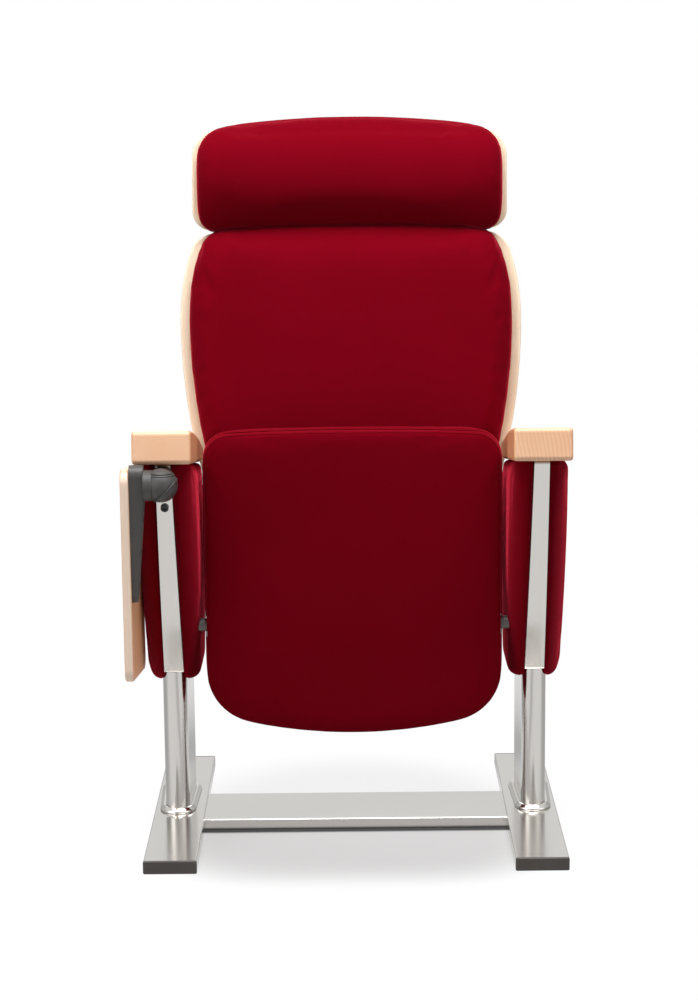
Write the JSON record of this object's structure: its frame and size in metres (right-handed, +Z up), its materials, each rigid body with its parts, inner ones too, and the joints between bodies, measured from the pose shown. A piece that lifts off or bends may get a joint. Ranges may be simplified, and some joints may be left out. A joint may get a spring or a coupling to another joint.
{
  "type": "tip-up auditorium seat with writing tablet",
  "caption": "Free-standing tip-up auditorium seat on a floor base, with headrest, upholstered side panels, wooden armrests and a folding writing tablet",
  "frame": {"origin": "on the floor, at the middle of the crossbar's underside, half-way between the two side panels", "axes": "+Z up, the sitter faces -Y, +X is the sitter's left; rest pose: seat tipped up, tablet hanging stowed beside the right panel"},
  "size_m": [0.6639, 0.5311, 1.0926],
  "materials": {
    "polished_frame": "satin polished steel bar and tube",
    "bracket_steel": "plain zinc-plated steel",
    "screw_steel": "zinc-plated",
    "black_steel": "black",
    "spring_steel": "oiled spring wire",
    "housing_alloy": "cast",
    "black_plastic": "fine matt texture",
    "bush_plastic": "natural acetal",
    "bumper_rubber": "matt",
    "beech": "clear satin lacquer",
    "core_wood": "raw plywood",
    "red_fabric": "plain woven wool"
  },
  "bodies": {
    "stand": {"right_runner": "polished_frame", "right_column": "polished_frame", "right_column_weld": "polished_frame", "right_hoop": "polished_frame", "right_panel_core": "core_wood", "right_inner_pad": "red_fabric", "right_outer_pad": "red_fabric", "right_armrest": "beech", "right_back_bracket": "bracket_steel", "right_head_bracket": "bracket_steel", "right_pivot_stub": "bracket_steel", "right_stop_cam": "bracket_steel", "left_runner": "polished_frame", "left_column": "polished_frame", "left_column_weld": "polished_frame", "left_hoop": "polished_frame", "left_panel_core": "core_wood", "left_inner_pad": "red_fabric", "left_outer_pad": "red_fabric", "left_armrest": "beech", "left_back_bracket": "bracket_steel", "left_head_bracket": "bracket_steel", "left_pivot_stub": "bracket_steel", "left_stop_cam": "bracket_steel", "crossbar": "polished_frame", "runner_end_caps": "black_plastic", "armrest_screws": "screw_steel", "stub_screws": "screw_steel", "retaining_rings": "screw_steel", "back_shell": "beech", "back_cushion": "red_fabric", "head_shell": "beech", "head_cushion": "red_fabric", "back_bracket_screws": "screw_steel", "head_bracket_screws": "screw_steel", "knuckle_socket": "black_plastic", "knuckle_pin": "screw_steel", "knuckle_washer": "bush_plastic", "backing_plate": "black_steel", "tablet_mount_screws": "black_steel"},
    "seat": {"right_pivot_housing": "housing_alloy", "right_return_spring": "spring_steel", "left_pivot_housing": "housing_alloy", "left_return_spring": "spring_steel", "pivot_bushes": "bush_plastic", "stop_bumpers": "bumper_rubber", "wing_screws": "screw_steel", "seat_board": "core_wood", "seat_cushion": "red_fabric", "seat_underside_pad": "red_fabric"},
    "tablet": {"knuckle_rotor": "black_plastic", "tablet_arm": "black_plastic", "tablet_board": "beech", "tablet_arm_screws": "screw_steel"}
  },
  "joints": [
    {"name": "seat_tip", "type": "hinge", "parent": "stand", "child": "seat", "pos_m": [0, -0.027, 0.322], "axis": [1, 0, 0], "range_deg": [0, 83], "stiffness_Nm_per_rad": 4.5, "springref_deg": -17.19, "deforming": ["right_return_spring", "left_return_spring"]},
    {"name": "tablet_swing", "type": "hinge", "parent": "stand", "child": "tablet", "pos_m": [-0.28, -0.205, 0.577], "axis": [-0.7071, 0, 0.7071], "range_deg": [0, 180]}
  ]
}
